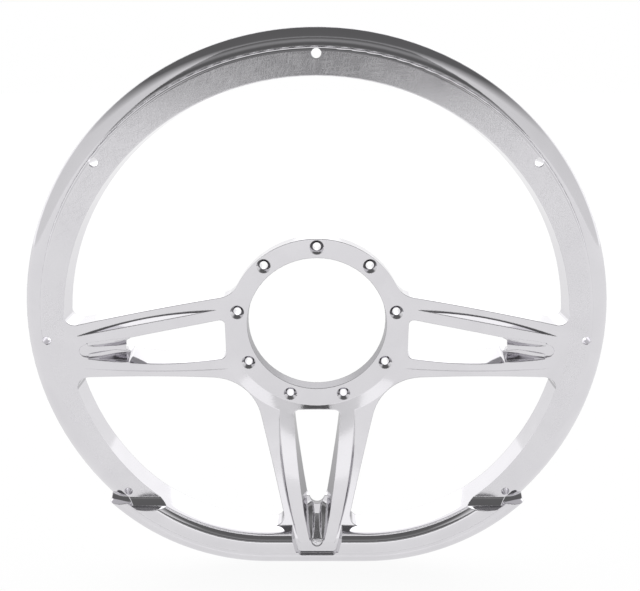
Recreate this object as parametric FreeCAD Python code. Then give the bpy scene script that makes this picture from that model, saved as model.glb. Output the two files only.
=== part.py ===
import FreeCAD, Part
import math
import os

from FreeCAD import Vector as V

# ---------------------------------------------------------------------------
# One-piece dished steering wheel, machined from aluminium plate.
# Millimetres. +Z is the top of the wheel, the wheel turns about the Y axis and
# its face looks towards -Y. The origin is the middle of the hub's rear face.
# The outlines below are drawn in a construction frame whose y = 0 is the seat
# plane of the rim; everything is moved by -HUB_REAR along Y at the end.
# ---------------------------------------------------------------------------

# rim
R_INNER = 153.0        # inside of the rim
R_STEP = 167.7         # outer edge of the flat grip seat
R_GRIP = 180.0         # outside of the full grip section
NOSE_Y = 2.4           # where the grip section is widest
NOSE_R = 7.5           # rear side of the nose
BACK_R = 29.3          # broad rounding of the rear
STEP_DEPTH = 3.4       # the outer zone starts this far behind the seat
SEAT_EDGE_R = 2.0      # rounding of the seat's outer edge
STEP_DRAFT = 75.0      # slope of the wall between the seat and the outer zone
OUTER_ZONE_R = 14.0    # radius of the convex outer zone
# flat bottom
CORNER_X = 33.0        # centre of the lower corner arcs
CORNER_Z = -26.5
# raised lower grip
GRIP_END_Z = -115.7    # its two end faces are level planes at this height
END_RUN, END_RISE, END_R = 4.0, 4.45, 14.39  # hollow ramp between the seat and a grip end
LIP_R = 5.0            # outer bead of the raised grip
# hub
R_BORE = 45.1
R_HUB = 57.4
HUB_FRONT = 25.6
HUB_REAR = 35.2
R_BOLTS = 52.0
HUB_HOLES = 9
HUB_HOLE_D = 5.1
CSK_D = 9.2
# grip screw holes in the seat
R_SCREWS = 164.4
SCREW_D = 5.2
SCREW_ANGLES = (90.0, 40.8, 139.2, 0.0, 180.0, -40.8, 220.8)
# arms
DISH_BLEND = 25.0      # blend radius between the dish and the seat plane
FOOT_SLOPE = 0.30      # rear of the bottom spoke, from the flat towards the hub
SPOKE_AXIS_Z = -9.0    # axis of the two side spokes
RIB_H = 2.6            # the ribs of the side spokes stand this far above the cone
RIB_H_LOW = 0.3        # and those of the bottom spoke
ARM_SAG = 1.8          # and the rest of the arms this far below it
RIB_R0, RIB_R1 = 65.0, 146.5   # the ribs rise between these radii
RIB_WALL = 60.0        # slope of the wall beside each rib of a side spoke
RIB_WALL_LOW = 45.0    # and of the bottom spoke
FINGER_TOP_SLOPE = 22.0


def vec(x, z, y=0.0):
    return V(x, y, z)


def line(a, b):
    return Part.LineSegment(a, b).toShape()


def arc3(a, m, b):
    return Part.Arc(a, m, b).toShape()


def rad(d):
    return math.radians(d)


def fillet_pts(p, c, n, r):
    """Start, middle and end of the arc of radius r that rounds the corner p-c-n."""
    ux, uz = p[0] - c[0], p[1] - c[1]
    wx, wz = n[0] - c[0], n[1] - c[1]
    lu, lw = math.hypot(ux, uz), math.hypot(wx, wz)
    ux, uz, wx, wz = ux / lu, uz / lu, wx / lw, wz / lw
    half = 0.5 * math.acos(max(-1.0, min(1.0, ux * wx + uz * wz)))
    t = r / math.tan(half)
    bx, bz = ux + wx, uz + wz
    lb = math.hypot(bx, bz)
    d = r / math.sin(half)
    return ((c[0] + ux * t, c[1] + uz * t), (c[0] + bx / lb * (d - r), c[1] + bz / lb * (d - r)), (c[0] + wx * t, c[1] + wz * t))


def rounded(points, mk):
    """Closed wire through 2-D points (x, y, fillet radius); corners become tangent arcs."""
    n = len(points)
    ends = []
    for i in range(n):
        x, y, r = points[i]
        if r <= 0:
            ends.append(((x, y), None, (x, y)))
        else:
            ends.append(fillet_pts(points[i - 1][:2], (x, y), points[(i + 1) % n][:2], r))
    edges = []
    for i in range(n):
        a, m, b = ends[i]
        if m is not None:
            edges.append(arc3(mk(*a), mk(*m), mk(*b)))
        c = ends[(i + 1) % n][0]
        if math.hypot(b[0] - c[0], b[1] - c[1]) > 1e-6:
            edges.append(line(mk(*b), mk(*c)))
    return Part.Wire(edges)


def one(shape):
    s = shape.removeSplitter()
    sol = s.Solids
    if len(sol) != 1:
        raise RuntimeError("expected one solid, got %d" % len(sol))
    return sol[0]


# ---------------------------------------------------------------------------
# section of the raised grip, drawn as (q, y): q is the radius on the round
# part of the rim. phi is the inward lean of the outward normal.
# ---------------------------------------------------------------------------
def on(cx, cy, r, phi):
    return (cx - r * math.sin(rad(phi)), cy - r * math.cos(rad(phi)))


def next_centre(p, r, phi):
    return (p[0] + r * math.sin(rad(phi)), p[1] + r * math.cos(rad(phi)))


E1 = (R_INNER + 10.3, -1.7)                    # inner wall rolls over, r 10.3
S0, S1, S2 = (R_INNER, E1[1]), on(E1[0], E1[1], 10.3, 78), on(E1[0], E1[1], 10.3, 66)
E2 = next_centre(S2, 5.4, 66)                  # inner front shoulder, r 5.4
S3, S4 = on(E2[0], E2[1], 5.4, 45), on(E2[0], E2[1], 5.4, 25)
E3 = next_centre(S4, 10.5, 25)                 # crown, r 10.5
S5, S6 = on(E3[0], E3[1], 10.5, 0), on(E3[0], E3[1], 10.5, -22)
E4 = next_centre(S6, 2.5, -22)                 # outer shoulder, r 2.5
S7, S8 = on(E4[0], E4[1], 2.5, -36), on(E4[0], E4[1], 2.5, -50)
CREASE = (S8[0] + (-1.9 - S8[1]) / math.tan(rad(50)), -1.9)
LIP_C = (R_GRIP - LIP_R, NOSE_Y)
L0 = on(LIP_C[0], LIP_C[1], LIP_R, 24)
L1m = on(LIP_C[0], LIP_C[1], LIP_R, -34)
L1e = (R_GRIP, NOSE_Y)
N_C = (R_GRIP - NOSE_R, NOSE_Y)


def nose(t):
    return (N_C[0] + NOSE_R * math.cos(rad(t)), N_C[1] + NOSE_R * math.sin(rad(t)))


B_C = (nose(50)[0] - BACK_R * math.cos(rad(50)), nose(50)[1] - BACK_R * math.sin(rad(50)))


def back(t):
    return (B_C[0] + BACK_R * math.cos(rad(t)), B_C[1] + BACK_R * math.sin(rad(t)))


BACK_Y = back(90)[1]
K = math.sqrt(0.5)


def grip_section(mk):
    e = [
        line(mk(R_INNER, BACK_Y), mk(*S0)),
        arc3(mk(*S0), mk(*S1), mk(*S2)),
        arc3(mk(*S2), mk(*S3), mk(*S4)),
        arc3(mk(*S4), mk(*S5), mk(*S6)),
        arc3(mk(*S6), mk(*S7), mk(*S8)),
        line(mk(*S8), mk(*CREASE)),
        line(mk(*CREASE), mk(*L0)),
        arc3(mk(*L0), mk(*L1m), mk(*L1e)),
        arc3(mk(*L1e), mk(*nose(25)), mk(*nose(50))),
        arc3(mk(*nose(50)), mk(*back(70)), mk(*back(90))),
        line(mk(*back(90)), mk(R_INNER, BACK_Y)),
    ]
    return Part.Wire(e)


Q_SHIFT = math.hypot(CORNER_X, CORNER_Z)
CORNER_DIR = math.degrees(math.atan2(CORNER_Z, CORNER_X))      # about -38.8


def sweep_loop(section):
    """The closed rim loop: big arc, two lower corner arcs and the flat."""
    d = rad(CORNER_DIR)
    f = Part.Face(section(lambda q, y: V(q * math.cos(d), y, q * math.sin(d))))
    big = f.revolve(V(0, 0, 0), V(0, -1, 0), 180.0 - 2.0 * CORNER_DIR)
    f2 = Part.Face(section(lambda q, y: V(CORNER_X + (q - Q_SHIFT) * math.cos(d), y, CORNER_Z + (q - Q_SHIFT) * math.sin(d))))
    right = f2.revolve(V(CORNER_X, 0, CORNER_Z), V(0, 1, 0), 90.0 + CORNER_DIR)
    f3 = Part.Face(section(lambda q, y: V(CORNER_X, y, CORNER_Z - (q - Q_SHIFT))))
    flat = f3.extrude(V(-2 * CORNER_X, 0, 0))
    left = right.mirror(V(0, 0, 0), V(1, 0, 0))
    return big.fuse([right, flat, left])


rim = one(sweep_loop(grip_section))

# ---------------------------------------------------------------------------
# the grip seat: cut the front of the rim above the two end faces
# ---------------------------------------------------------------------------
FRONT = -40.0


def pq(q, y):
    return V(q, y, 0)


def rev(edges):
    return Part.Face(Part.Wire(edges)).revolve(V(0, 0, 0), V(0, 1, 0), 360)


ZC0, ZC1 = 2.0, 44.0               # lean of the outer zone's normal at its two ends
Z_IN = R_STEP + 0.9
OZ_C = (Z_IN - OUTER_ZONE_R * math.sin(rad(ZC0)), STEP_DEPTH + OUTER_ZONE_R * math.cos(rad(ZC0)))


def oz(phi):
    return (OZ_C[0] + OUTER_ZONE_R * math.sin(rad(phi)), OZ_C[1] - OUTER_ZONE_R * math.cos(rad(phi)))


C8 = SEAT_EDGE_R
CQ = R_STEP - 2.1                  # where the rounding of the seat's edge starts
SE = (CQ + C8 * math.sin(rad(STEP_DRAFT)), C8 - C8 * math.cos(rad(STEP_DRAFT)))
SM = (CQ + C8 * math.sin(rad(0.5 * STEP_DRAFT)), C8 - C8 * math.cos(rad(0.5 * STEP_DRAFT)))
SF = (SE[0] + (STEP_DEPTH - 0.9 - SE[1]) / math.tan(rad(STEP_DRAFT)), STEP_DEPTH - 0.9)
seat_air = rev([
    line(pq(149.0, FRONT), pq(149.0, 0)),
    line(pq(149.0, 0), pq(CQ, 0)),
    arc3(pq(CQ, 0), pq(*SM), pq(*SE)),
    line(pq(*SE), pq(SE[0], FRONT)),
    line(pq(SE[0], FRONT), pq(149.0, FRONT)),
])
o1, o2, o3 = oz(ZC0), oz(0.5 * (ZC0 + ZC1)), oz(ZC1)
out = (o3[0] + 8.0, o3[1] + 8.0 * math.tan(rad(ZC1)))
step_air = rev([
    line(pq(SE[0], FRONT), pq(*SE)),
    line(pq(*SE), pq(*SF)),
    arc3(pq(*SF), pq(SF[0] + 0.26, STEP_DEPTH - 0.27), pq(*o1)),
    arc3(pq(*o1), pq(*o2), pq(*o3)),
    line(pq(*o3), pq(*out)),
    line(pq(*out), pq(out[0], FRONT)),
    line(pq(out[0], FRONT), pq(SE[0], FRONT)),
])


def above_end(x0, depth, run, lean):
    """Everything in front of the given depth above a level end face, with the
    hollow ramp at its foot. The depth grows by lean for each mm of run from x0."""
    z0 = GRIP_END_Z
    cy, cz = depth - END_R * math.cos(rad(36)), z0 + END_RUN + END_R * math.sin(rad(36))
    mid = (cy + END_R * math.cos(rad(48)), cz - END_R * math.sin(rad(48)))
    w = Part.Wire([
        line(V(x0, FRONT - 15, z0), V(x0, depth - END_RISE, z0)),
        arc3(V(x0, depth - END_RISE, z0), V(x0, mid[0], mid[1]), V(x0, depth, z0 + END_RUN)),
        line(V(x0, depth, z0 + END_RUN), V(x0, depth, 0)),
        line(V(x0, depth, 0), V(x0, FRONT - 15, 0)),
        line(V(x0, FRONT - 15, 0), V(x0, FRONT - 15, z0)),
    ])
    return Part.Face(w).extrude(V(run, abs(run) * lean, 0))


def box_above(z):
    return Part.makeBox(500, 120, 300, V(-250, -60, z))


seat_zone = above_end(-250, 0.0, 500, 0.0).fuse(box_above(-1.0))
rim = one(rim.cut(seat_air.common(seat_zone)))
X_STEP = math.sqrt(Z_IN ** 2 - GRIP_END_Z ** 2)
outer_l = above_end(-(X_STEP - 9.0), 3.9 - 9.0 * 0.30, -40.0, 0.30)
outer_zone = box_above(GRIP_END_Z + END_RUN).fuse([outer_l, outer_l.mirror(V(0, 0, 0), V(1, 0, 0))])
rim = one(rim.cut(step_air.common(outer_zone)))
print("rim", rim.isValid(), rim.Volume)

# ---------------------------------------------------------------------------
# the dish that the hub and arms are cut from: a straight flank from the hub
# edge, tangent to an arc that is tangent to y = 0 at the inside of the rim
# ---------------------------------------------------------------------------
DA = rad(15.0)
for _ in range(60):
    DA = math.atan2(HUB_FRONT - DISH_BLEND * (1 - math.cos(DA)), R_INNER - DISH_BLEND * math.sin(DA) - R_HUB)
DT = (R_INNER - DISH_BLEND * math.sin(DA), DISH_BLEND * (1 - math.cos(DA)))
DM = (R_INNER - DISH_BLEND * math.sin(0.5 * DA), DISH_BLEND * (1 - math.cos(0.5 * DA)))


def dish_y(r):
    """Depth of the dish behind the seat plane at radius r."""
    if r >= R_INNER:
        return 0.0
    if r > DT[0]:
        return DISH_BLEND - math.sqrt(DISH_BLEND ** 2 - (R_INNER - r) ** 2)
    return HUB_FRONT - (r - R_HUB) * math.tan(DA)


SAG_A = (RIB_R0, dish_y(RIB_R0))
SAG_M = (0.5 * (RIB_R0 + DT[0]), dish_y(0.5 * (RIB_R0 + DT[0])) + ARM_SAG)
web = rev([
    line(pq(0, HUB_FRONT), pq(R_HUB, HUB_FRONT)),
    line(pq(R_HUB, HUB_FRONT), pq(*SAG_A)),
    arc3(pq(*SAG_A), pq(*SAG_M), pq(*DT)),
    arc3(pq(*DT), pq(*DM), pq(R_INNER, 0)),
    line(pq(R_INNER, 0), pq(R_INNER + 4.0, 0)),
    line(pq(R_INNER + 4.0, 0), pq(R_INNER + 4.0, BACK_Y - 0.5)),
    line(pq(R_INNER + 4.0, BACK_Y - 0.5), pq(R_INNER, BACK_Y)),
    line(pq(R_INNER, BACK_Y), pq(62.0, HUB_REAR)),
    line(pq(62.0, HUB_REAR), pq(0, HUB_REAR)),
    line(pq(0, HUB_REAR), pq(0, HUB_FRONT)),
])
front_air = rev([
    line(pq(0, FRONT), pq(0, HUB_FRONT)),
    line(pq(0, HUB_FRONT), pq(R_HUB, HUB_FRONT)),
    line(pq(R_HUB, HUB_FRONT), pq(*SAG_A)),
    arc3(pq(*SAG_A), pq(*SAG_M), pq(*DT)),
    arc3(pq(*DT), pq(*DM), pq(R_INNER, 0)),
    line(pq(R_INNER, 0), pq(185.0, 0)),
    line(pq(185.0, 0), pq(185.0, FRONT)),
    line(pq(185.0, FRONT), pq(0, FRONT)),
])
# the tops of the ribs bulge forward of the dish between RIB_R0 and RIB_R1
RIB_RM = 0.5 * (RIB_R0 + RIB_R1)
RE0, RE1 = RIB_R0 - 5.0, 150.0


def circle_through(a, m, b):
    ax, ay, bx, by, cx, cy = *a, *m, *b
    d = 2 * (ax * (by - cy) + bx * (cy - ay) + cx * (ay - by))
    ux = ((ax * ax + ay * ay) * (by - cy) + (bx * bx + by * by) * (cy - ay) + (cx * cx + cy * cy) * (ay - by)) / d
    uy = ((ax * ax + ay * ay) * (cx - bx) + (bx * bx + by * by) * (ax - cx) + (cx * cx + cy * cy) * (bx - ax)) / d
    return ux, uy, math.hypot(ax - ux, ay - uy)


def rib_body(h):
    """Turned body whose top bulges h forward of the cone between RIB_R0 and RIB_R1."""
    cx, cy, r = circle_through((RIB_R0, dish_y(RIB_R0)), (RIB_RM, dish_y(RIB_RM) - h), (RIB_R1, dish_y(RIB_R1)))

    def top(q):
        return cy - math.sqrt(r ** 2 - (q - cx) ** 2)

    return rev([
        arc3(pq(RE0, top(RE0)), pq(RIB_RM, top(RIB_RM)), pq(RE1, top(RE1))),
        line(pq(RE1, top(RE1)), pq(RE1, BACK_Y - 5.0)),
        line(pq(RE1, BACK_Y - 5.0), pq(RE0, HUB_REAR - 3.0)),
        line(pq(RE0, HUB_REAR - 3.0), pq(RE0, top(RE0))),
    ])


def prism(wire, y0=-60.0, y1=90.0):
    w = wire.copy()
    w.translate(V(0, y0, 0))
    return Part.Face(w).extrude(V(0, y1 - y0, 0))


def circ_at(ang, r):
    return (r * math.cos(rad(ang)), r * math.sin(rad(ang)))


# --- edge lines of the arms, in plan (x, z), left half -----------------------
L1_A, L1_B = (-146.8, 9.4), (-65.5, 19.05)      # upper side arm, upper edge
L2_A, L2_B = (-145.1, -24.9), (-88.6, -32.1)    # lower side arm, lower edge
B_A, B_B = (-35.6, -71.4), (-22.4, -130.0)      # bottom arm, outer edge


def seg_int(p, q, r, s):
    x1, y1, x2, y2, x3, y3, x4, y4 = *p, *q, *r, *s
    d = (x1 - x2) * (y3 - y4) - (y1 - y2) * (x3 - x4)
    a = x1 * y2 - y1 * x2
    b = x3 * y4 - y3 * x4
    return ((a * (x3 - x4) - (x1 - x2) * b) / d, (a * (y3 - y4) - (y1 - y2) * b) / d)


def line_circle_fillet(p, q, R, rho, side, inside, pick):
    """Centre and tangent points of a circle of radius rho that touches the line pq
    (on its left for side 1) and the circle R about the origin."""
    dx, dz = q[0] - p[0], q[1] - p[1]
    L = math.hypot(dx, dz)
    dx, dz = dx / L, dz / L
    nx, nz = -dz * side, dx * side
    ox, oy = p[0] + nx * rho, p[1] + nz * rho
    rr = R - rho if inside else R + rho
    b = ox * dx + oy * dz
    c = ox * ox + oy * oy - rr * rr
    disc = math.sqrt(b * b - c)
    best = None
    for t in (-b - disc, -b + disc):
        cx, cz = ox + dx * t, oy + dz * t
        if best is None or math.hypot(cx - pick[0], cz - pick[1]) < math.hypot(best[0] - pick[0], best[1] - pick[1]):
            best = (cx, cz)
    cx, cz = best
    s = R / math.hypot(cx, cz)
    return best, (cx - nx * rho, cz - nz * rho), (cx * s, cz * s)


def arc_cc(c, a, b, r):
    """Short arc about c from a to b."""
    mx, mz = 0.5 * (a[0] + b[0]) - c[0], 0.5 * (a[1] + b[1]) - c[1]
    L = math.hypot(mx, mz)
    m = (c[0] + mx / L * r, c[1] + mz / L * r)
    return arc3(vec(*a), vec(*m), vec(*b))


def mir(p):
    return (-p[0], p[1])


# --- upper opening -----------------------------------------------------------
RIM_FIL, HUB_FIL = 6.0, 13.0
cA, tA, uA = line_circle_fillet(L1_A, L1_B, R_INNER, RIM_FIL, 1, True, (-147, 15))
cB, tB, uB = line_circle_fillet(L1_A, L1_B, R_HUB, HUB_FIL, 1, False, (-60, 33))
upper = Part.Wire([
    arc_cc(cA, uA, tA, RIM_FIL),
    line(vec(*tA), vec(*tB)),
    arc_cc(cB, tB, uB, HUB_FIL),
    arc3(vec(*uB), vec(0, R_HUB), vec(*mir(uB))),
    arc_cc(mir(cB), mir(uB), mir(tB), HUB_FIL),
    line(vec(*mir(tB)), vec(*mir(tA))),
    arc_cc(mir(cA), mir(tA), mir(uA), RIM_FIL),
    arc3(vec(*mir(uA)), vec(0, R_INNER), vec(*uA)),
])

# --- lower openings ----------------------------------------------------------
BIG_FIL, FOOT_FIL, RIM_FIL2 = 36.0, 6.5, 7.0
Z_BAR = CORNER_Z - (R_INNER - Q_SHIFT)          # inner edge of the flat bottom
cC, tC, uC = line_circle_fillet(L2_A, L2_B, R_INNER, RIM_FIL2, -1, True, (-145, -33))
corner = seg_int(L2_A, L2_B, B_A, B_B)
foot = seg_int(B_A, B_B, (-100, Z_BAR), (0, Z_BAR))
f1 = fillet_pts(L2_A, corner, B_B, BIG_FIL)
f2 = fillet_pts(B_A, foot, (-100, Z_BAR), FOOT_FIL)
tan_pt = circ_at(180.0 - CORNER_DIR, R_INNER)
rc = R_INNER - Q_SHIFT
am = rad(0.5 * ((180.0 - CORNER_DIR) + 270.0))
ang_c = math.degrees(math.atan2(uC[1], uC[0])) % 360
amid = 0.5 * (ang_c + (180.0 - CORNER_DIR))
lower_left = Part.Wire([
    line(vec(*tC), vec(*f1[0])),
    arc3(vec(*f1[0]), vec(*f1[1]), vec(*f1[2])),
    line(vec(*f1[2]), vec(*f2[0])),
    arc3(vec(*f2[0]), vec(*f2[1]), vec(*f2[2])),
    line(vec(*f2[2]), vec(-CORNER_X, Z_BAR)),
    arc3(vec(-CORNER_X, Z_BAR), vec(-CORNER_X + rc * math.cos(am), CORNER_Z + rc * math.sin(am)), vec(*tan_pt)),
    arc3(vec(*tan_pt), vec(*circ_at(amid, R_INNER)), vec(*uC)),
    arc_cc(cC, uC, tC, RIM_FIL2),
])
openings = [prism(upper), prism(lower_left), prism(lower_left).mirror(V(0, 0, 0), V(1, 0, 0))]

# inside outline of the whole rim: nothing of the arms stands out behind it
corner_mid = (-CORNER_X + rc * math.cos(am), CORNER_Z + rc * math.sin(am))
inside = Part.Wire([
    arc3(vec(*tan_pt), vec(0, R_INNER), vec(*mir(tan_pt))),
    arc3(vec(*mir(tan_pt)), vec(*mir(corner_mid)), vec(CORNER_X, Z_BAR)),
    line(vec(CORNER_X, Z_BAR), vec(-CORNER_X, Z_BAR)),
    arc3(vec(-CORNER_X, Z_BAR), vec(*corner_mid), vec(*tan_pt)),
])
beyond = Part.makeBox(500, 90, 500, V(-250, 8.0, -250)).cut(prism(inside))
# rear of the bottom spoke: a plane that meets the rear of the flat
foot_z = Z_BAR + 80.0
foot_rear = Part.Face(Part.Wire([
    line(V(-250, BACK_Y, Z_BAR), V(-250, BACK_Y + FOOT_SLOPE * 80.0, foot_z)),
    line(V(-250, BACK_Y + FOOT_SLOPE * 80.0, foot_z), V(-250, 80.0, foot_z)),
    line(V(-250, 80.0, foot_z), V(-250, 80.0, Z_BAR - 20.0)),
    line(V(-250, 80.0, Z_BAR - 20.0), V(-250, BACK_Y, Z_BAR - 20.0)),
    line(V(-250, BACK_Y, Z_BAR - 20.0), V(-250, BACK_Y, Z_BAR)),
])).extrude(V(500, 0, 0))

# ---------------------------------------------------------------------------
# Everything on a spoke is drawn on its own axis: s is the distance from the
# wheel's axis and w is measured across. The bottom spoke is the model; a side
# spoke is the same thing turned by a quarter.
# ---------------------------------------------------------------------------
def to_left(shape, axis_z=SPOKE_AXIS_Z):
    """From the bottom spoke to the left one; w > 0 becomes its lower side."""
    s = shape.copy()
    s.rotate(V(0, 0, 0), V(0, 1, 0), 90.0)
    s.translate(V(0, 0, axis_z))
    return s


def mirror_x(shape):
    return shape.mirror(V(0, 0, 0), V(1, 0, 0))


# --- ribs: low ridges along both sides of a window ---------------------------
def rib_prism(sa, wa, sb, wb, bow, sgn, wall):
    """Region of one rib on the w*sgn > 0 side; its outer wall leans back."""
    # points in a plane that follows the dish: u along s, v across
    mid = (0.5 * (sa + sb), 0.5 * (wa + wb) + bow)
    cx, cy, r = circle_through((sa, wa), mid, (sb, wb))
    s_lo, s_hi = sa - 6.0, min(sb + 5.0, 156.0)

    def w_at(s):
        return cy + math.copysign(math.sqrt(r * r - (s - cx) ** 2), mid[1] - cy)

    slope = math.tan(DA)
    n = V(0, -math.cos(DA), math.sin(DA))           # forward normal of that plane, s runs along -Z

    def mk(s, w):
        return V(sgn * w, dish_y(100.0) - (s - 100.0) * slope, -s)

    sm = 0.5 * (s_lo + s_hi)
    wire = Part.Wire([
        arc3(mk(s_lo, w_at(s_lo)), mk(sm, w_at(sm)), mk(s_hi, w_at(s_hi))),
        line(mk(s_hi, w_at(s_hi)), mk(s_hi, 0.0)),
        line(mk(s_hi, 0.0), mk(s_lo, 0.0)),
        line(mk(s_lo, 0.0), mk(s_lo, w_at(s_lo))),
    ])
    depth, height = 4.5, 9.0
    d = V(-sgn / math.tan(rad(wall)), 0, 0) + n                  # moves forward by one and inwards by 1/tan
    f = Part.Face(wire)
    f.translate(d * -depth)
    return f.extrude(d * (depth + height))


bottom_rib = rib_body(RIB_H_LOW).common(rib_prism(63.0, 26.6, 143.5, 13.6, 2.4, 1, RIB_WALL_LOW))
side_body = rib_body(RIB_H)
side_rib_up = side_body.common(to_left(rib_prism(64.0, 20.4, 148.0, 11.0, 2.4, -1, RIB_WALL)))
side_rib_lo = side_body.common(to_left(rib_prism(64.0, 21.3, 147.0, 9.8, 1.6, 1, RIB_WALL)))
ribs = [r for q in (bottom_rib, side_rib_up, side_rib_lo) for r in (q, mirror_x(q))]
wheel = one(web.fuse(ribs))
print("ribs", wheel.isValid(), wheel.Volume)
for cutter in openings + [beyond, foot_rear]:
    wheel = wheel.cut(cutter)
wheel = one(wheel)
print("openings", wheel.isValid(), wheel.Volume)

# --- foot of the bottom spoke: the arms' face runs on across the raised grip --
foot_poly = rounded([(-19.0, -128.0, 0), (-12.4, -156.8, 2.5), (12.4, -156.8, 2.5), (19.0, -128.0, 0)], lambda x, z: V(x, 0, z))
rim = one(rim.cut(prism(foot_poly, -30.0, 20.0).common(front_air)))
wheel = one(wheel.fuse([rim], 1e-4))
print("rim joined", wheel.isValid(), wheel.Volume)


# --- windows ------------------------------------------------------------------
def edge_arc(p):
    """Circle through three (s, w) points, as a function and its slope."""
    cx, cy, r = circle_through(*p)
    sg = 1.0 if p[1][1] > cy else -1.0

    def w(s):
        return cy + sg * math.sqrt(r * r - (s - cx) ** 2)

    def dw(s):
        return -sg * (s - cx) / math.sqrt(r * r - (s - cx) ** 2)

    return w, dw


def corner_arc(s_end, s_tan, w, dw, inward):
    """Arc from the end line s = s_end to the side at s_tan, tangent to both."""
    wt, k = w(s_tan), dw(s_tan)
    wi = wt + k * (s_end - s_tan)
    t = math.hypot(s_end - s_tan, wi - wt)
    p_end = (s_end, wi - inward * t)
    a, m, b = p_end, None, (s_tan, wt)
    ux, uy = 0.0, -inward
    vx, vy = (s_tan - s_end) / t, (wt - wi) / t
    half = 0.5 * math.acos(ux * vx + uy * vy)
    r = t * math.tan(half)
    bx, by = ux + vx, uy + vy
    lb = math.hypot(bx, by)
    d = r / math.sin(half)
    m = (s_end + bx / lb * (d - r), wi + by / lb * (d - r))
    return a, m, b


def window_wire(y, s0, r0, s1, r1, upper_pts, lower_pts):
    """Outline of a window: hub end s0, rim end s1, side arcs on w > 0 and w < 0."""
    wu, du = edge_arc(upper_pts)
    wl, dl = edge_arc(lower_pts)
    h0u = corner_arc(s0, s0 + r0, wu, du, 1)
    h1u = corner_arc(s1, s1 - r1, wu, du, 1)
    h0l = corner_arc(s0, s0 + r0, wl, dl, -1)
    h1l = corner_arc(s1, s1 - r1, wl, dl, -1)
    P = lambda p: V(p[1], y, -p[0])
    sm = 0.5 * (s0 + r0 + s1 - r1)
    e = [
        arc3(P(h0u[0]), P(h0u[1]), P(h0u[2])),
        arc3(P(h0u[2]), P((sm, wu(sm))), P(h1u[2])),
        arc3(P(h1u[2]), P(h1u[1]), P(h1u[0])),
        line(P(h1u[0]), P(h1l[0])),
        arc3(P(h1l[0]), P(h1l[1]), P(h1l[2])),
        arc3(P(h1l[2]), P((sm, wl(sm))), P(h0l[2])),
        arc3(P(h0l[2]), P(h0l[1]), P(h0l[0])),
        line(P(h0l[0]), P(h0u[0])),
    ]
    return Part.Wire(e)


def window(s_hub, s_mid, s_far, hi, lo, draft_far, s_end):
    """hi and lo: half widths on the face at s_hub, s_mid and s_far. The side walls
    are square at the hub and lean in towards the back by draft_far at s_far."""
    wires = []
    for y, r in ((-6.0, 2.6), (36.0, 0.9)):
        sides = []
        for sg, halves in ((1, hi), (-1, lo)):
            side = []
            for s, half in zip((s_hub, s_mid, s_far), halves):
                d = draft_far * max(0.0, (s - 62.0) / (s_far - 62.0))
                side.append((s, sg * (half - d * (y - dish_y(s)))))
            sides.append(side)
        wires.append(window_wire(y, s_hub, 3.6, s_end, r, sides[0], sides[1]))
    return Part.makeLoft(wires, True, True)


def window_end(s12, y_ref, r, lean):
    """Round end of a window: a cylinder that reaches s12 at depth y_ref."""
    a = rad(lean)
    d = V(0, math.cos(a), -math.sin(a))
    p = V(0, y_ref, -(s12 - r / math.cos(a))) + d * -9.0
    return Part.makeCylinder(r, 44.0, p, d)


win_b = window(60.4, 96.0, 120.0, (15.7, 13.0, 10.1), (15.7, 13.0, 10.1), 0.25, 121.5)
win_s = window(59.3, 96.0, 118.0, (13.4, 11.4, 8.0), (13.4, 10.1, 7.3), 0.22, 118.5)
end_b = window_end(125.0, 12.0, 5.3, 24.0)
end_s = window_end(120.6, 12.0, 4.3, 24.0)
print("windows", win_b.isValid(), win_s.isValid(), win_b.Volume, win_s.Volume)


# --- web at the rim end of each window: a finger with a pocket on each side ---
def station_loft(stations):
    """Ruled solid through polygons [(w, y), ...] at given s."""
    wires = []
    for s, pts in stations:
        p = [V(w, y, -s) for w, y in pts]
        wires.append(Part.Wire([line(p[i], p[(i + 1) % len(p)]) for i in range(len(p))]))
    return Part.makeLoft(wires, True, True)


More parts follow.
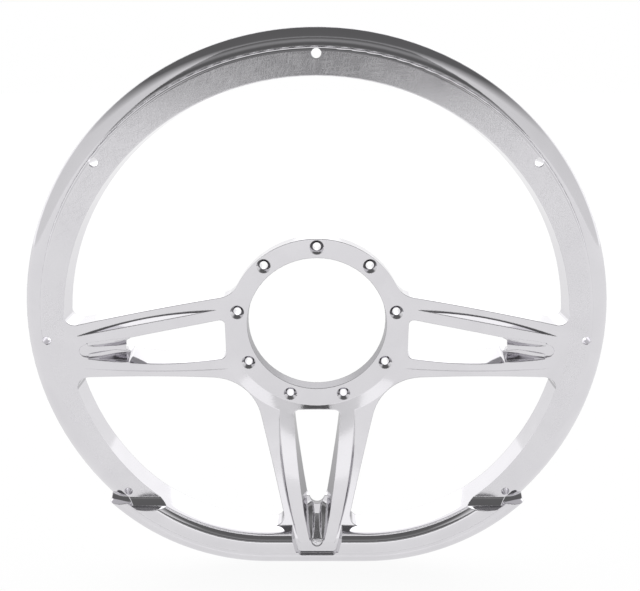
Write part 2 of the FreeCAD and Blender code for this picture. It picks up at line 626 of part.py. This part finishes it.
def finger_set(s_win, s_tip, s_end, half_win, half_tip, shift_tip, neck, top_half):
    """Recess with a finger: s_win is the window end, s_tip where the pockets run
    out, s_end the rounded end of the recess."""
    k = math.tan(rad(FINGER_TOP_SLOPE))
    s_k = s_win + 6.5                                    # the finger's top steepens here
    y_end = dish_y(s_end) + 0.25

    def y_top(s):
        yk = y_end + (s_end - s_k) * k
        return y_end + (s_end - s) * k if s >= s_k else yk + (s_k - s) * 0.2

    def shift(s):
        return shift_tip * max(0.0, (s - s_win) / (s_tip - s_win))

    def half(s):
        t = (s - s_win) / (s_tip - s_win)
        return half_win + (half_tip - half_win) * t + 1.0 * 4 * t * (1 - t) * 0.35

    cutters = []
    # channel above the finger's top
    st = []
    for s in (s_win - 8.0, s_k, s_tip - 6.0, s_tip):
        y, c, h = y_top(s), shift(s), half(s) - 1.0
        st.append((s, [(c - h, y), (c + h, y), (c + h + 0.3 * (y + 12), -12.0), (c - h - 0.3 * (y + 12), -12.0)]))
    cutters.append(station_loft(st))
    # rounded end of the channel
    c, h = shift(s_tip), half(s_tip) - 1.0
    endw = Part.Wire([
        line(V(c - h, 0, -(s_tip - 1.0)), V(c + h, 0, -(s_tip - 1.0))),
        line(V(c + h, 0, -(s_tip - 1.0)), V(c + h, 0, -s_tip)),
        arc3(V(c + h, 0, -s_tip), V(c, 0, -(s_tip + h)), V(c - h, 0, -s_tip)),
        line(V(c - h, 0, -s_tip), V(c - h, 0, -(s_tip - 1.0))),
    ])
    slab = Part.Wire([
        line(V(-30, y_top(s_k), -s_k), V(-30, y_top(s_end + 8.0), -(s_end + 8.0))),
        line(V(-30, y_top(s_end + 8.0), -(s_end + 8.0)), V(-30, -30, -(s_end + 8.0))),
        line(V(-30, -30, -(s_end + 8.0)), V(-30, -30, -s_k)),
        line(V(-30, -30, -s_k), V(-30, y_top(s_k), -s_k)),
    ])
    cutters.append(prism(endw, -20.0, 30.0).common(Part.Face(slab).extrude(V(60, 0, 0))))
    # pockets
    for sg in (1, -1):
        st = []
        for s, base, extra in ((s_win - 8.0, neck + 1.6, 4.6), (s_win + 1.5, neck + 0.7, 4.6), (s_win + 7.0, neck, 3.6), (s_tip - 7.0, neck + 0.3, 1.3), (s_tip - 0.8, neck + 0.7, 0.25)):
            c, h, yt = shift(s), half(s), y_top(s)
            yf = yt + extra
            inner_top = max(0.4, min(base - 0.2, top_half + (base - neck) * 0.9))
            slope_in = (base - inner_top) / extra
            outer_b = max(base + 0.25, h - 0.30 * (yf - dish_y(s)))
            yk = yt - 0.02
            st.append((s, [(c + sg * base, yf), (c + sg * outer_b, yf), (c + sg * (outer_b + 0.30 * (yf + 12.0)), -12.0), (c + sg * (base + 0.6), -12.0), (c + sg * inner_top, yk)]))
        cutters.append(station_loft(st))
    return cutters


fing_b = finger_set(124.0, 147.5, 152.0, 9.5, 4.9, 0.0, 2.7, 1.6)
fing_s = finger_set(119.5, 142.0, 146.5, 7.2, 4.9, -1.4, 2.3, 1.4)
for i, c in enumerate(fing_b + fing_s):
    print("finger", i, c.isValid(), c.Volume)

for c in [win_b, end_b] + fing_b:
    wheel = wheel.cut(c)
for c in [win_s, end_s] + fing_s:
    left = to_left(c)
    wheel = wheel.cut(left).cut(mirror_x(left))
wheel = one(wheel)
print("pockets", wheel.isValid(), wheel.Volume)

# --- hub: bore and countersunk holes; rim: grip screw holes --------------------
YAX = V(0, 1, 0)
wheel = wheel.cut(Part.makeCylinder(R_BORE, 60, V(0, 0, 0), YAX))
holes = []
for i in range(HUB_HOLES):
    x, z = circ_at(90.0 + 360.0 / HUB_HOLES * i, R_BOLTS)
    holes.append(Part.makeCylinder(0.5 * HUB_HOLE_D, 40, V(x, 5, z), YAX))
    d = 0.5 * (CSK_D - HUB_HOLE_D)
    holes.append(Part.makeCone(0.5 * CSK_D + 1.0, 0.5 * HUB_HOLE_D, d + 1.0, V(x, HUB_FRONT - 1.0, z), YAX))
for a in SCREW_ANGLES:
    x, z = circ_at(a, R_SCREWS)
    holes.append(Part.makeCylinder(0.5 * SCREW_D, 60, V(x, -20, z), YAX))
for h in holes:
    wheel = wheel.cut(h)
wheel = one(wheel)

wheel.translate(V(0, -HUB_REAR, 0))
os.makedirs("parts", exist_ok=True)
wheel.exportStep("parts/wheel.step")
print("valid", wheel.isValid(), "volume cm3", wheel.Volume / 1000.0, "faces", len(wheel.Faces))
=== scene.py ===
import math

import bmesh
import bpy
import numpy as np
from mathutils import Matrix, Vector


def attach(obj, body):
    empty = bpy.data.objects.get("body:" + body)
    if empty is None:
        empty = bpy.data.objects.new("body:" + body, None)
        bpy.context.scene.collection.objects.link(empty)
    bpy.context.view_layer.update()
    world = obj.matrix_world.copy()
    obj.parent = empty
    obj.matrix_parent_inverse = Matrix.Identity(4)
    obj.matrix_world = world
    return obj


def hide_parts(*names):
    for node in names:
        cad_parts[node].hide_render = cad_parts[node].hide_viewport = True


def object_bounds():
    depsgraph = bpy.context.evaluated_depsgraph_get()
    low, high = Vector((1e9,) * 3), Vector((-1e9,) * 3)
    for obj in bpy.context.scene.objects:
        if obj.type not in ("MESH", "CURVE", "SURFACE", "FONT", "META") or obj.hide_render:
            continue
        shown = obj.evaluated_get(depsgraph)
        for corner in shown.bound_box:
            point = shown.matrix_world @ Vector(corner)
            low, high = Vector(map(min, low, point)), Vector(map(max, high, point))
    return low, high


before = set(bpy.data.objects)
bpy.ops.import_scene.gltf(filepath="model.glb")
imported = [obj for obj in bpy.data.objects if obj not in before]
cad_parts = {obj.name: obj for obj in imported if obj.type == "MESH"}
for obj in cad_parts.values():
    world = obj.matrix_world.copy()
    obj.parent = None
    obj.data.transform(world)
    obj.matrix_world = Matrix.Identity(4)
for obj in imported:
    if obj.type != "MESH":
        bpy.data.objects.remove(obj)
box0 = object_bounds()
scene = bpy.context.scene


def rad(d):
    return math.radians(d)


# ---------------------------------------------------------------------------
# The visible wheel: the same surfaces, welded, with each vertex normal taken
# from the true surface it lies on, so that the polish reflects evenly.
# ---------------------------------------------------------------------------
HUB_REAR = 35.2
R_INNER, R_STEP, R_GRIP = 153.0, 167.7, 180.0
CORNER_X, CORNER_Z = 33.0, -26.5
Q_SHIFT = math.hypot(CORNER_X, CORNER_Z)
CORNER_DIR = math.atan2(CORNER_Z, CORNER_X)
R_HUB, HUB_FRONT = 57.4, 25.6
DISH_BLEND = 25.0
RIB_H, RIB_H_LOW, RIB_R0, RIB_R1 = 2.6, 0.3, 65.0, 146.5


def on(cx, cy, r, phi):
    return (cx - r * math.sin(rad(phi)), cy - r * math.cos(rad(phi)))


def next_centre(p, r, phi):
    return (p[0] + r * math.sin(rad(phi)), p[1] + r * math.cos(rad(phi)))


E1 = (R_INNER + 10.3, -1.7)
S2 = on(E1[0], E1[1], 10.3, 66)
E2 = next_centre(S2, 5.4, 66)
S4 = on(E2[0], E2[1], 5.4, 25)
E3 = next_centre(S4, 10.5, 25)
S6 = on(E3[0], E3[1], 10.5, -22)
E4 = next_centre(S6, 2.5, -22)
S8 = on(E4[0], E4[1], 2.5, -50)
CREASE = (S8[0] + (-1.9 - S8[1]) / math.tan(rad(50)), -1.9)
LIP_C = (R_GRIP - 5.0, 2.4)
L0 = on(LIP_C[0], LIP_C[1], 5.0, 24)
N_C = (R_GRIP - 7.5, 2.4)
N50 = (N_C[0] + 7.5 * math.cos(rad(50)), N_C[1] + 7.5 * math.sin(rad(50)))
B_C = (N50[0] - 29.3 * math.cos(rad(50)), N50[1] - 29.3 * math.sin(rad(50)))
BACK_Y = B_C[1] + 29.3

Z_IN = R_STEP + 0.9
OZ_C = (Z_IN - 14.0 * math.sin(rad(2.0)), 3.4 + 14.0 * math.cos(rad(2.0)))
DA = rad(15.0)
for _ in range(60):
    DA = math.atan2(HUB_FRONT - DISH_BLEND * (1 - math.cos(DA)), R_INNER - DISH_BLEND * math.sin(DA) - R_HUB)
DT = (R_INNER - DISH_BLEND * math.sin(DA), DISH_BLEND * (1 - math.cos(DA)))


def dish_y(r):
    if r >= R_INNER:
        return 0.0
    if r > DT[0]:
        return DISH_BLEND - math.sqrt(DISH_BLEND ** 2 - (R_INNER - r) ** 2)
    return HUB_FRONT - (r - R_HUB) * math.tan(DA)


def circle_through(a, m, b):
    ax, ay, bx, by, cx, cy = *a, *m, *b
    d = 2 * (ax * (by - cy) + bx * (cy - ay) + cx * (ay - by))
    ux = ((ax * ax + ay * ay) * (by - cy) + (bx * bx + by * by) * (cy - ay) + (cx * cx + cy * cy) * (ay - by)) / d
    uy = ((ax * ax + ay * ay) * (cx - bx) + (bx * bx + by * by) * (ax - cx) + (cx * cx + cy * cy) * (bx - ax)) / d
    return ux, uy, math.hypot(ax - ux, ay - uy)


RIB_RM = 0.5 * (RIB_R0 + RIB_R1)
ARM_SAG = 1.8
SAG_A = (RIB_R0, dish_y(RIB_R0))
SAG_M = (0.5 * (RIB_R0 + DT[0]), dish_y(0.5 * (RIB_R0 + DT[0])) + ARM_SAG)
SAG = circle_through(SAG_A, SAG_M, DT)
RIB_TOPS = [circle_through((RIB_R0, dish_y(RIB_R0)), (RIB_RM, dish_y(RIB_RM) - h), (RIB_R1, dish_y(RIB_R1))) for h in (RIB_H, RIB_H_LOW)]
CQ = R_STEP - 2.1
SE = (CQ + 2.0 * math.sin(rad(75.0)), 2.0 - 2.0 * math.cos(rad(75.0)))
SF = (SE[0] + (2.5 - SE[1]) / math.tan(rad(75.0)), 2.5)
STEP_FILLET = circle_through(SF, (SF[0] + 0.26, 3.13), (Z_IN, 3.4))

# (swept along the rim?, kind, data): arcs as (centre q, centre y, radius), lines as (q, y, direction q, direction y)
PROFILE = [
    (True, "arc", (E1[0], E1[1], 10.3)), (True, "arc", (E2[0], E2[1], 5.4)), (True, "arc", (E3[0], E3[1], 10.5)),
    (True, "arc", (E4[0], E4[1], 2.5)), (True, "arc", (LIP_C[0], LIP_C[1], 5.0)), (True, "arc", (N_C[0], N_C[1], 7.5)),
    (True, "arc", (B_C[0], B_C[1], 29.3)),
    (True, "line", (S8[0], S8[1], CREASE[0] - S8[0], CREASE[1] - S8[1])),
    (True, "line", (CREASE[0], CREASE[1], L0[0] - CREASE[0], L0[1] - CREASE[1])),
    (True, "line", (R_INNER, 0.0, 0.0, 1.0)),
    (False, "arc", (CQ, 2.0, 2.0)), (False, "arc", (OZ_C[0], OZ_C[1], 14.0)), (False, "arc", STEP_FILLET),
    (False, "line", (SE[0], SE[1], math.cos(rad(75.0)), math.sin(rad(75.0)))),
    (False, "line", (R_HUB, HUB_FRONT, DT[0] - R_HUB, DT[1] - HUB_FRONT)),
    (False, "arc", SAG), (False, "arc", (R_INNER, DISH_BLEND, DISH_BLEND)), (False, "arc", RIB_TOPS[0]), (False, "arc", RIB_TOPS[1]),
    (False, "line", (R_INNER, BACK_Y, 62.0 - R_INNER, HUB_REAR - BACK_Y)),
    (False, "line", (45.1, 0.0, 0.0, 1.0)), (False, "line", (R_HUB, 0.0, 0.0, 1.0)),
]


def q_and_dir(P, swept):
    """Section coordinate q and the outward unit direction (x, z) of each point."""
    x, z = P[:, 0], P[:, 2]
    r = np.hypot(x, z)
    q, ux, uz = r.copy(), x / np.maximum(r, 1e-9), z / np.maximum(r, 1e-9)
    if swept:
        ang = np.arctan2(z, np.abs(x))
        low = ang < CORNER_DIR + 1e-9
        ax = np.abs(x)
        flat = low & (ax <= CORNER_X)
        cor = low & ~flat
        cr = np.hypot(ax - CORNER_X, z - CORNER_Z)
        # the corner arcs start where the radius through the corner centre leaves the big arc
        q = np.where(cor, Q_SHIFT + cr, q)
        ux = np.where(cor, np.sign(x) * (ax - CORNER_X) / np.maximum(cr, 1e-9), ux)
        uz = np.where(cor, (z - CORNER_Z) / np.maximum(cr, 1e-9), uz)
        q = np.where(flat, Q_SHIFT + CORNER_Z - z, q)
        ux = np.where(flat, 0.0, ux)
        uz = np.where(flat, -1.0, uz)
    return q, ux, uz


def exact_normals(V, T, FN):
    """For triangles T of vertices V (mm, construction frame) with facet normals FN:
    normals per corner where the surface is known, and a flag per triangle."""
    nT = len(T)
    out = np.zeros((nT, 3, 3))
    done = np.zeros(nT, bool)
    flat = np.abs(FN[:, 1]) > 0.999999
    out[flat] = FN[flat][:, None, :]
    done |= flat
    cen = V[T].mean(1)
    for swept, kind, d in PROFILE:
        q, ux, uz = q_and_dir(V, swept)
        y = V[:, 1]
        if kind == "arc":
            dq, dy = q - d[0], y - d[1]
            dist = np.hypot(dq, dy)
            res = np.abs(dist - d[2])
            nq, ny = dq / np.maximum(dist, 1e-9), dy / np.maximum(dist, 1e-9)
        else:
            L = math.hypot(d[2], d[3])
            tq, ty = d[2] / L, d[3] / L
            nq0, ny0 = -ty, tq
            res = np.abs((q - d[0]) * nq0 + (y - d[1]) * ny0)
            nq, ny = np.full(len(V), nq0), np.full(len(V), ny0)
        N = np.stack([nq * ux, ny, nq * uz], 1)
        on_it = (res[T] < 0.004).all(1) & ~done
        NT = N[T]
        m = NT.mean(1)
        m /= np.maximum(np.linalg.norm(m, axis=1, keepdims=True), 1e-9)
        dot = (m * FN).sum(1)
        # the long thin facets on the small roundings stray far from the true surface
        ok = on_it & (np.abs(dot) > (0.45 if kind == "arc" and d[2] <= 2.5 else 0.965))
        sg = np.sign(dot)[:, None, None]
        out[ok] = (NT * sg)[ok]
        done |= ok
    return out, done


def end_ramps(V, T, FN, out, done):
    """The hollow ramps at the foot of the two end faces."""
    z0, run, r, t0 = -115.7, 4.0, 14.39, rad(36.0)
    xs = math.sqrt(Z_IN ** 2 - z0 ** 2) - 9.0
    for side in (0, -1, 1):
        x, y, z = V[:, 0], V[:, 1], V[:, 2]
        lean = 0.30 if side else 0.0
        depth = 3.9 - 9.0 * 0.30 + (np.abs(x) - xs) * lean if side else np.zeros(len(V))
        dy, dz = y - (depth - r * math.cos(t0)), z - (z0 + run + r * math.sin(t0))
        res = np.abs(np.hypot(dy, dz) - r)
        on_it = (res[T] < 0.004).all(1) & ~done
        ny, nz = -dy / r, -dz / r
        nx = -lean * ny * side if side else np.zeros(len(V))
        N = np.stack([nx, ny, nz], 1)
        N /= np.linalg.norm(N, axis=1, keepdims=True)
        NT = N[T]
        dot = (NT.mean(1) * FN).sum(1)
        ok = on_it & (dot > 0.93) & ((side == 0) | (np.sign(V[T][:, :, 0].mean(1)) == side))
        out[ok] = NT[ok]
        done |= ok
    return out, done


def visible_copy(node):
    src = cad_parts[node]
    bm = bmesh.new()
    bm.from_mesh(src.data)
    bmesh.ops.remove_doubles(bm, verts=bm.verts, dist=4e-6)
    bmesh.ops.triangulate(bm, faces=[f for f in bm.faces if len(f.verts) > 3])
    bmesh.ops.dissolve_degenerate(bm, edges=bm.edges, dist=1e-6)
    bmesh.ops.triangulate(bm, faces=[f for f in bm.faces if len(f.verts) > 3])
    me = bpy.data.meshes.new("wheel_body")
    bm.to_mesh(me)
    bm.free()
    n = len(me.vertices)
    co = np.empty(n * 3)
    me.vertices.foreach_get("co", co)
    Vm = co.reshape(n, 3) * 1000.0
    Vm[:, 1] += HUB_REAR
    T = np.empty(len(me.polygons) * 3, int)
    me.polygons.foreach_get("vertices", T)
    T = T.reshape(-1, 3)
    a, b, c = Vm[T[:, 0]], Vm[T[:, 1]], Vm[T[:, 2]]
    cr = np.cross(b - a, c - a)
    area = np.linalg.norm(cr, axis=1)
    FN = cr / np.maximum(area, 1e-12)[:, None]
    out, done = exact_normals(Vm, T, FN)
    out, done = end_ramps(Vm, T, FN, out, done)
    # all other surfaces: average of the neighbours within 30 degrees, weighted by area,
    # worked out per corner so that creases stay crisp
    faces_of = [[] for _ in range(n)]
    for i, t in enumerate(T):
        for v in t:
            faces_of[v].append(i)
    lim = math.cos(rad(30.0))
    for i in np.nonzero(~done)[0]:
        for k in range(3):
            v = T[i, k]
            near = faces_of[v]
            d = FN[near] @ FN[i]
            # grow from this facet over smooth edges only
            ring = {i}
            grow = [i]
            while grow:
                g = grow.pop()
                for j in near:
                    if j not in ring and len(set(T[g]) & set(T[j])) == 2 and FN[g] @ FN[j] > lim:
                        ring.add(j)
                        grow.append(j)
            ring = list(ring)
            exact = [j for j in ring if done[j]]
            if exact:
                j = exact[int(np.argmax(area[exact]))]
                out[i, k] = out[j, list(T[j]).index(v)]
            else:
                s = (FN[ring] * area[ring][:, None]).sum(0)
                out[i, k] = s / max(np.linalg.norm(s), 1e-12)
    print("surface normals: exact", int(done.sum()), "averaged", int((~done).sum()))
    me.polygons.foreach_set("use_smooth", [True] * len(me.polygons))
    me.normals_split_custom_set(out.reshape(-1, 3).tolist())
    ob = bpy.data.objects.new("wheel_body", me)
    scene.collection.objects.link(ob)
    return ob


wheel = visible_copy("wheel")

# ---------------------------------------------------------------------------
# material: polished aluminium
# ---------------------------------------------------------------------------


def polished_aluminium():
    m = bpy.data.materials.new("polished_aluminium")
    m.use_nodes = True
    nt = m.node_tree
    nt.nodes.clear()
    N, L = nt.nodes.new, nt.links.new

    def calc(op, a, b=None, clamp=False):
        n = N("ShaderNodeMath")
        n.operation = op
        n.use_clamp = clamp
        for k, v in ((0, a), (1, b)):
            if v is None:
                continue
            if hasattr(v, "links"):
                L(v, n.inputs[k])
            else:
                n.inputs[k].default_value = v
        return n.outputs[0]

    def between(v, lo, hi, soft):
        """1 where lo < v < hi, with soft ends."""
        up = calc("MULTIPLY", calc("SUBTRACT", v, lo), 1.0 / soft, True)
        dn = calc("MULTIPLY", calc("SUBTRACT", hi, v), 1.0 / soft, True)
        return calc("MULTIPLY", up, dn)

    def ranged(v, a, b, c, d):
        n = N("ShaderNodeMapRange")
        for k, w in (("From Min", a), ("From Max", b), ("To Min", c), ("To Max", d)):
            n.inputs[k].default_value = w
        L(v, n.inputs["Value"])
        return n.outputs[0]

    def blend(f, a, b):
        return calc("ADD", calc("MULTIPLY", a, calc("SUBTRACT", 1.0, f)), calc("MULTIPLY", b, f))

    out = N("ShaderNodeOutputMaterial")
    bsdf = N("ShaderNodeBsdfPrincipled")
    bsdf.inputs["Metallic"].default_value = 1.0
    L(bsdf.outputs[0], out.inputs[0])
    tc = N("ShaderNodeTexCoord")
    obj = tc.outputs["Object"]
    sep = N("ShaderNodeSeparateXYZ")
    L(obj, sep.inputs[0])
    x, y, z = sep.outputs
    radius = calc("SQRT", calc("ADD", calc("MULTIPLY", x, x), calc("MULTIPLY", z, z)))

    def noise(scale, detail, distortion=0.0, vector=obj):
        n = N("ShaderNodeTexNoise")
        n.inputs["Scale"].default_value = scale
        n.inputs["Detail"].default_value = detail
        n.inputs["Distortion"].default_value = distortion
        L(vector, n.inputs["Vector"])
        return n.outputs["Fac"]

    fine = noise(900.0, 4.0)
    haze = noise(38.0, 5.0, 0.6)

    # the seat of the grip cover keeps the swirls of the sanding disc
    seat = calc("MULTIPLY", between(y, -0.0353, -0.0351, 0.00005), between(radius, 0.1530, 0.1657, 0.0006))
    seat = calc("MULTIPLY", seat, between(z, -0.1115, 0.3, 0.0004))
    rings = []
    for cx, cz, k in ((0.31, 0.12, 1.0), (-0.34, 0.30, 1.3), (0.05, -0.31, 1.15)):
        dx, dz = calc("SUBTRACT", x, cx), calc("SUBTRACT", z, cz)
        rr = calc("SQRT", calc("ADD", calc("MULTIPLY", dx, dx), calc("MULTIPLY", dz, dz)))
        ang = calc("ARCTAN2", dz, dx)
        com = N("ShaderNodeCombineXYZ")
        L(calc("MULTIPLY", rr, 2600.0 * k), com.inputs[0])
        L(calc("MULTIPLY", ang, 30.0 * k), com.inputs[1])
        rings.append(noise(1.0, 2.0, 0.0, com.outputs[0]))
    swirl = calc("MAXIMUM", calc("MAXIMUM", rings[0], rings[1]), rings[2])
    scratch = ranged(swirl, 0.50, 0.78, 0.0, 1.0)
    patch = ranged(noise(26.0, 3.0, 0.3), 0.38, 0.62, 0.35, 1.0)
    seat_rough = blend(calc("MULTIPLY", scratch, patch), ranged(haze, 0.3, 0.75, 0.13, 0.19), 0.52)
    # the bore is only turned, so it is rougher; its colour is also darkened there as painted shade
    bore = between(radius, 0.0440, 0.04525, 0.0001)

    polish = ranged(haze, 0.3, 0.75, 0.045, 0.085)
    rough = blend(seat, polish, seat_rough)
    rough = blend(bore, rough, 0.30)
    L(rough, bsdf.inputs["Roughness"])

    tint = N("ShaderNodeValToRGB")
    tint.color_ramp.elements[0].position = 0.30
    tint.color_ramp.elements[0].color = (0.665, 0.655, 0.68, 1)
    tint.color_ramp.elements[1].position = 0.72
    tint.color_ramp.elements[1].color = (0.70, 0.69, 0.715, 1)
    L(haze, tint.inputs["Fac"])
    # painted shade: the bore's base colour is mixed towards dark grey
    dark = N("ShaderNodeMix")
    dark.data_type = "RGBA"
    L(bore, dark.inputs["Factor"])
    L(tint.outputs["Color"], dark.inputs["A"])
    dark.inputs["B"].default_value = (0.29, 0.285, 0.30, 1)
    L(dark.outputs["Result"], bsdf.inputs["Base Color"])

    bev = N("ShaderNodeBevel")
    bev.samples = 8
    # the step has its true roundings, all other edges get a small one by shading
    step = calc("MULTIPLY", between(radius, 0.1653, 0.1690, 0.0002), between(y, -0.03545, -0.0314, 0.0002))
    L(calc("MULTIPLY", calc("SUBTRACT", 1.0, step), 0.0007), bev.inputs["Radius"])
    height = calc("ADD", calc("MULTIPLY", fine, 0.5), calc("MULTIPLY", calc("MULTIPLY", scratch, seat), -0.14))
    bump = N("ShaderNodeBump")
    bump.inputs["Strength"].default_value = 0.05
    bump.inputs["Distance"].default_value = 0.0002
    L(height, bump.inputs["Height"])
    L(bev.outputs[0], bump.inputs["Normal"])
    L(bump.outputs[0], bsdf.inputs["Normal"])
    return m


metal = polished_aluminium()
wheel.data.materials.append(metal)
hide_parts("wheel")
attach(wheel, "root")

# ---------------------------------------------------------------------------
# floor, light, camera
# ---------------------------------------------------------------------------
floor_z = box0[0][2]


def flat_material(name, colour, emission=None):
    m = bpy.data.materials.new(name)
    m.use_nodes = True
    b = m.node_tree.nodes["Principled BSDF"]
    b.inputs["Base Color"].default_value = (*colour, 1)
    b.inputs["Roughness"].default_value = 0.8
    b.inputs["Specular IOR Level"].default_value = 0.1
    if emission:
        b.inputs["Emission Color"].default_value = (1, 1, 1, 1)
        b.inputs["Emission Strength"].default_value = emission
    return m


bm = bmesh.new()
bmesh.ops.create_circle(bm, cap_ends=True, radius=14.0, segments=128)
fm = bpy.data.meshes.new("floor")
bm.to_mesh(fm)
bm.free()
floor = bpy.data.objects.new("floor", fm)
floor.location = (0, 0, floor_z)
scene.collection.objects.link(floor)
fm.materials.append(flat_material("floor_white", (0.09, 0.09, 0.09), 0.915))



def card(name, corners, stops, axis=2):
    """Upright card of the studio, seen by the polish only. stops: (height, brightness)."""
    me = bpy.data.meshes.new(name)
    me.from_pydata(corners, [], [(0, 1, 2, 3)])
    ob = bpy.data.objects.new(name, me)
    scene.collection.objects.link(ob)
    m = bpy.data.materials.new(name)
    m.use_nodes = True
    nt = m.node_tree
    nt.nodes.clear()
    o = nt.nodes.new("ShaderNodeOutputMaterial")
    e = nt.nodes.new("ShaderNodeEmission")
    t = nt.nodes.new("ShaderNodeTexCoord")
    sp = nt.nodes.new("ShaderNodeSeparateXYZ")
    nt.links.new(t.outputs["Object"], sp.inputs[0])
    mr = nt.nodes.new("ShaderNodeMapRange")
    lo, hi = stops[0][0], stops[-1][0]
    mr.inputs["From Min"].default_value = lo
    mr.inputs["From Max"].default_value = hi
    nt.links.new(sp.outputs[axis], mr.inputs["Value"])
    ramp = nt.nodes.new("ShaderNodeValToRGB")
    while len(ramp.color_ramp.elements) < len(stops):
        ramp.color_ramp.elements.new(0.5)
    for el, (h, v) in zip(ramp.color_ramp.elements, stops):
        el.position = (h - lo) / (hi - lo)
        el.color = (0.5 * v, 0.5 * v, 0.5 * v, 1)
    e.inputs["Strength"].default_value = 2.0
    nt.links.new(mr.outputs[0], ramp.inputs["Fac"])
    nt.links.new(ramp.outputs["Color"], e.inputs["Color"])
    nt.links.new(e.outputs[0], o.inputs[0])
    me.materials.append(m)
    ob.visible_camera = False
    ob.visible_diffuse = False
    ob.visible_shadow = False
    return ob


# dark card in front, behind the camera, that the polish picks up
card("dark_card", [(-1.15, -2.6, 0.083), (1.15, -2.6, 0.083), (1.15, -2.6, 2.3), (-1.15, -2.6, 2.3)],
     [(0.083, 0.11), (0.17, 0.12), (0.20, 0.38), (0.36, 0.38), (0.46, 0.13), (0.90, 0.13), (1.35, 0.30), (1.60, 0.30), (2.0, 0.16), (2.3, 0.14)])
# low white card in front
card("white_card", [(-0.26, -1.0, floor_z + 0.001), (0.26, -1.0, floor_z + 0.001), (0.26, -1.0, -0.062), (-0.26, -1.0, -0.062)],
     [(floor_z, 1.25), (-0.062, 1.25)])
# low middle part of the dark card
card("dark_card_low", [(-0.15, -2.6, -0.02), (0.15, -2.6, -0.02), (0.15, -2.6, 0.083), (-0.15, -2.6, 0.083)],
     [(-0.02, 0.10), (0.083, 0.13)])
# painted shade: a dim card on the floor behind the wheel, seen by the polish only, stands in for the wheel's shade
# there
card("painted_floor_shade", [(-0.11, 0.03, floor_z + 0.001), (0.11, 0.03, floor_z + 0.001), (0.11, 0.30, floor_z + 0.001), (-0.11, 0.30, floor_z + 0.001)],
     [(0.03, 0.45), (0.30, 0.75)], 1)
# long light bar high up behind the wheel
card("light_bar", [(-0.80, 1.5, 0.35), (0.80, 1.5, 0.35), (0.80, 1.5, 1.90), (-0.80, 1.5, 1.90)],
     [(0.35, 1.32), (0.50, 2.0), (1.05, 2.0), (1.90, 1.32)])

# studio: white backdrop behind the wheel, light walls low down in front, dark above
world = bpy.data.worlds.new("studio")
scene.world = world
world.use_nodes = True
wn = world.node_tree
wn.nodes.clear()
N, L = wn.nodes.new, wn.links.new
wout = N("ShaderNodeOutputWorld")
bg = N("ShaderNodeBackground")
tc = N("ShaderNodeTexCoord")
sep = N("ShaderNodeSeparateXYZ")
L(tc.outputs["Generated"], sep.inputs[0])


def world_ramp(socket, stops):
    to01 = N("ShaderNodeMath")
    to01.operation = "MULTIPLY_ADD"
    to01.inputs[1].default_value = 0.5
    to01.inputs[2].default_value = 0.5
    L(socket, to01.inputs[0])
    ramp = N("ShaderNodeValToRGB")
    L(to01.outputs[0], ramp.inputs["Fac"])
    cr = ramp.color_ramp
    while len(cr.elements) < len(stops):
        cr.elements.new(0.5)
    for e, (deg, v) in zip(cr.elements, stops):
        e.position = 0.5 + 0.5 * math.sin(rad(deg))
        e.color = (v, v, v, 1)
    return ramp.outputs["Color"]


FRONT_STOPS = [(-90, 0.50), (-1, 0.50), (0, 0.44), (26, 0.42), (36, 0.24), (46, 0.075), (90, 0.07)]
front = world_ramp(sep.outputs["Z"], FRONT_STOPS)
behind = world_ramp(sep.outputs["Y"], [(-90, 0.0), (1.0, 0.0), (6.0, 1.0), (90, 1.0)])
wmix = N("ShaderNodeMix")
wmix.data_type = "RGBA"
L(behind, wmix.inputs["Factor"])
L(front, wmix.inputs["A"])
L(world_ramp(sep.outputs["Y"], [(-90, 0.66), (63, 0.66), (75, 0.56), (90, 0.56)]), wmix.inputs["B"])
L(wmix.outputs["Result"], bg.inputs["Color"])
bg.inputs["Strength"].default_value = 2.0
lp = N("ShaderNodeLightPath")
bgc = N("ShaderNodeBackground")
bgc.inputs["Color"].default_value = (1, 1, 1, 1)
bgc.inputs["Strength"].default_value = 1.0
mix = N("ShaderNodeMixShader")
L(lp.outputs["Is Camera Ray"], mix.inputs[0])
L(bg.outputs[0], mix.inputs[1])
L(bgc.outputs[0], mix.inputs[2])
L(mix.outputs[0], wout.inputs[0])

cam = bpy.data.cameras.new("camera")
cam.lens = 36.94
cam.sensor_width = 36.0
cam.clip_end = 100.0
cam.clip_start = 0.01
co = bpy.data.objects.new("camera", cam)
co.location = (0.00202, -0.4059, 0.15264)
co.rotation_euler = (math.pi / 2 - 0.322, 0.0, 0.0)
scene.collection.objects.link(co)
scene.camera = co

scene.view_settings.view_transform = "Standard"
scene.view_settings.look = "None"
scene.view_settings.exposure = 0.0
scene.view_settings.gamma = 1.0
